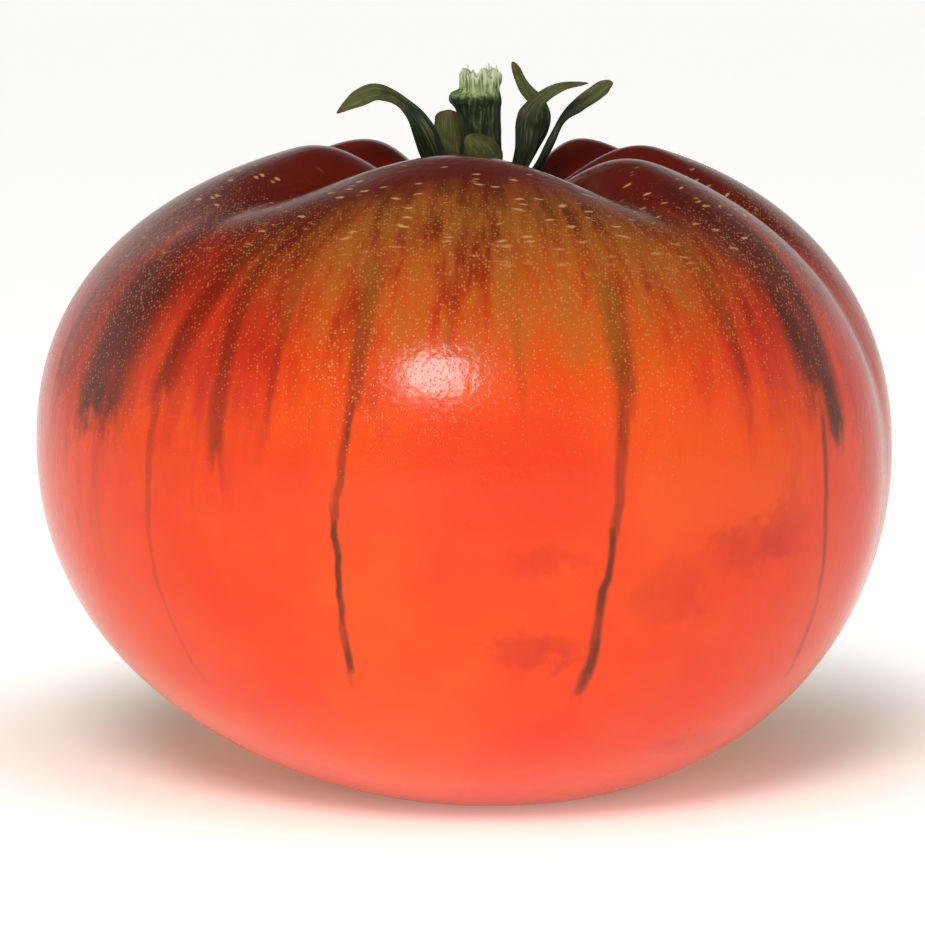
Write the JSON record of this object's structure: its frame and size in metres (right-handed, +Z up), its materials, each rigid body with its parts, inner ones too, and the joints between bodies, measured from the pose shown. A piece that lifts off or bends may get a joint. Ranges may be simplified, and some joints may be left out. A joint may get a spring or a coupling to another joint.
{
  "type": "tomato",
  "caption": "Large ribbed heirloom tomato, wider than it is high, with a short cut stem and curling green sepals in a shallow basin. It rests on its flattened blossom end.",
  "frame": {"origin": "on the resting surface, under the middle of the fruit's width and depth", "axes": "+Z up through the stem end, +X along the fruit's width, -Y towards its front"},
  "size_m": [0.1, 0.097, 0.0855],
  "materials": {
    "fruit_skin": "smooth, waxy, glossy tomato skin, red to orange with maroon and olive shoulders",
    "stem_green": "matte, finely haired dark green stalk with a pale, frayed cut end",
    "sepal_green": "matte, finely haired olive green leaf, brown at the tips"
  },
  "bodies": {
    "root": {"fruit": "fruit_skin", "stem": "stem_green", "sepal_left": "sepal_green", "sepal_left_stub": "sepal_green", "sepal_front": "sepal_green", "sepal_right_front": "sepal_green", "sepal_right_back": "sepal_green", "sepal_right": "sepal_green", "sepal_back": "sepal_green"}
  },
  "joints": []
}
